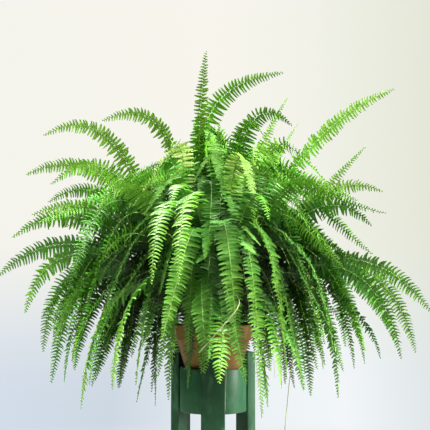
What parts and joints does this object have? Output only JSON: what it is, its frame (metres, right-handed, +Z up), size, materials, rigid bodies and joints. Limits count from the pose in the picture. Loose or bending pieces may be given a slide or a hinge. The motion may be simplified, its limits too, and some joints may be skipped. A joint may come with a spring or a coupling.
{
  "type": "potted fern",
  "caption": "Boston fern with long arching fronds in a tapered terracotta pot, held in the round band of a plant stand on flat board legs.",
  "frame": {"origin": "on the floor under the axis of the pot and stand, which is the middle of the overall width and depth", "axes": "+Z up along the axis of the pot and stand; -Y is the front, where the front leg stands; +X is the right seen from the front"},
  "size_m": [1.3596, 1.0389, 1.5213],
  "materials": {
    "terracotta": "matte",
    "soil": "matte",
    "crown_fibre": "matte",
    "painted_wood_band": "satin",
    "painted_wood_legs": "satin",
    "painted_wood_shelf": "satin",
    "screw_steel": "satin",
    "leaf_a": "satin",
    "leaf_b": "satin",
    "leaf_c": "satin",
    "leaf_d": "satin",
    "leaf_e": "satin",
    "leaf_young": "satin",
    "runner_stem": "matte"
  },
  "bodies": {
    "root": {"pot": "terracotta", "soil": "soil", "crown": "crown_fibre", "band": "painted_wood_band", "shelf": "painted_wood_shelf", "leg_1": "painted_wood_legs", "leg_2": "painted_wood_legs", "leg_3": "painted_wood_legs", "screw_1": "screw_steel", "screw_2": "screw_steel", "screw_3": "screw_steel", "frond_01": "leaf_a", "frond_02": "leaf_b", "frond_03": "leaf_c", "frond_04": "leaf_d", "frond_05": "leaf_e", "frond_06": "leaf_a", "frond_07": "leaf_b", "frond_08": "leaf_c", "frond_09": "leaf_d", "frond_10": "leaf_e", "frond_11": "leaf_a", "frond_12": "leaf_b", "frond_13": "leaf_c", "frond_14": "leaf_d", "frond_15": "leaf_e", "frond_16": "leaf_a", "frond_17": "leaf_b", "frond_18": "leaf_c", "frond_19": "leaf_d", "frond_20": "leaf_e", "frond_21": "leaf_a", "frond_22": "leaf_b", "frond_23": "leaf_c", "frond_24": "leaf_d", "frond_25": "leaf_e", "frond_26": "leaf_a", "frond_27": "leaf_b", "frond_28": "leaf_c", "frond_29": "leaf_d", "frond_30": "leaf_e", "frond_31": "leaf_a", "frond_32": "leaf_b", "frond_33": "leaf_c", "frond_34": "leaf_d", "frond_35": "leaf_e", "frond_36": "leaf_a", "frond_37": "leaf_b", "frond_38": "leaf_c", "frond_39": "leaf_d", "frond_40": "leaf_e", "frond_41": "leaf_a", "frond_42": "leaf_b", "frond_43": "leaf_c", "young_frond_01": "leaf_young", "young_frond_02": "leaf_young", "young_frond_03": "leaf_young", "young_frond_04": "leaf_young", "runner_1": "runner_stem", "runner_2": "runner_stem"}
  },
  "joints": []
}
